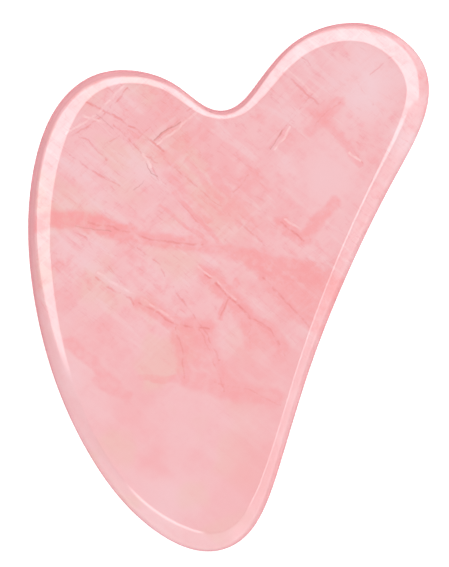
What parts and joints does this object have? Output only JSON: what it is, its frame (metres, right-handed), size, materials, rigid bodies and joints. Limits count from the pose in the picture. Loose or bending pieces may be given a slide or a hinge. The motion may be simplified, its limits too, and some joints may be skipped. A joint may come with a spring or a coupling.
{
  "type": "gua sha scraper",
  "caption": "Flat heart-shaped hand scraper of polished rose quartz, with two uneven lobes, a notch between them and a tapering tail.",
  "frame": {"origin": "middle of the stone's footprint, on its flat back face", "axes": "+Z out of the flat front face, through the thickness; +Y from the tip of the tail to the lobes; +X towards the longer, narrower lobe"},
  "size_m": [0.0622, 0.082, 0.006],
  "materials": {
    "rose_quartz": "polished"
  },
  "bodies": {
    "root": {"scraper_stone": "rose_quartz"}
  },
  "joints": []
}
